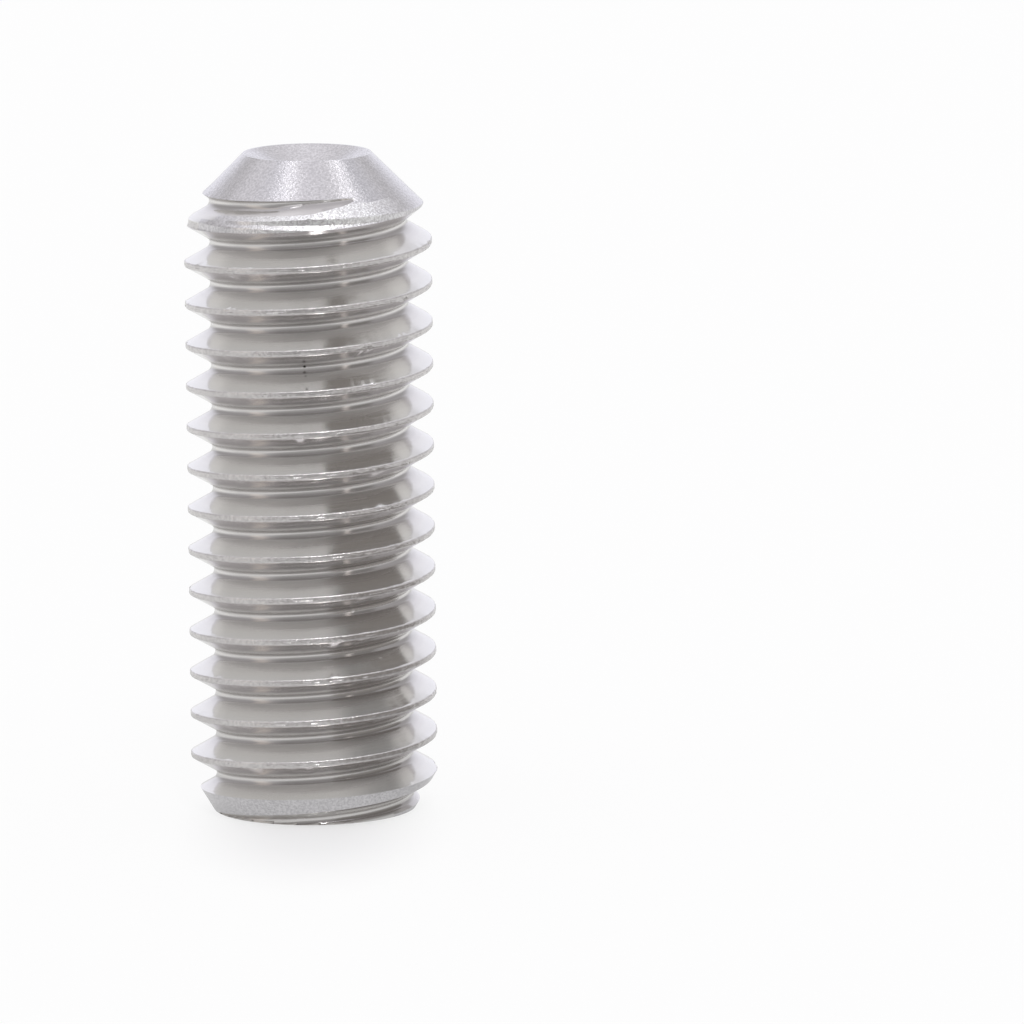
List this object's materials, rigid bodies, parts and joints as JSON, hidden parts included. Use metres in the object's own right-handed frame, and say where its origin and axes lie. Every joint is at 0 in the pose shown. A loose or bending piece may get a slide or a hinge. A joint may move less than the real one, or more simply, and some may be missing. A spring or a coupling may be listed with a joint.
{
  "type": "grub set screw",
  "caption": "Headless set screw with a full-length thread, a hexagon socket in one end and a cup point on the other.",
  "frame": {"origin": "centre of the socket end's face, on the screw's axis, at the bottom of the standing screw", "axes": "+Z along the axis from the socket end to the cup point; +X to the right and +Y away from the viewer in the picture's view; the crest crosses z = 0 at 57 degrees from +X"},
  "size_m": [0.006, 0.006, 0.016],
  "materials": {
    "stainless_steel": "rolled thread with a satin sheen, turned cone and bevel"
  },
  "bodies": {
    "root": {"grub_screw": "stainless_steel"}
  },
  "joints": []
}
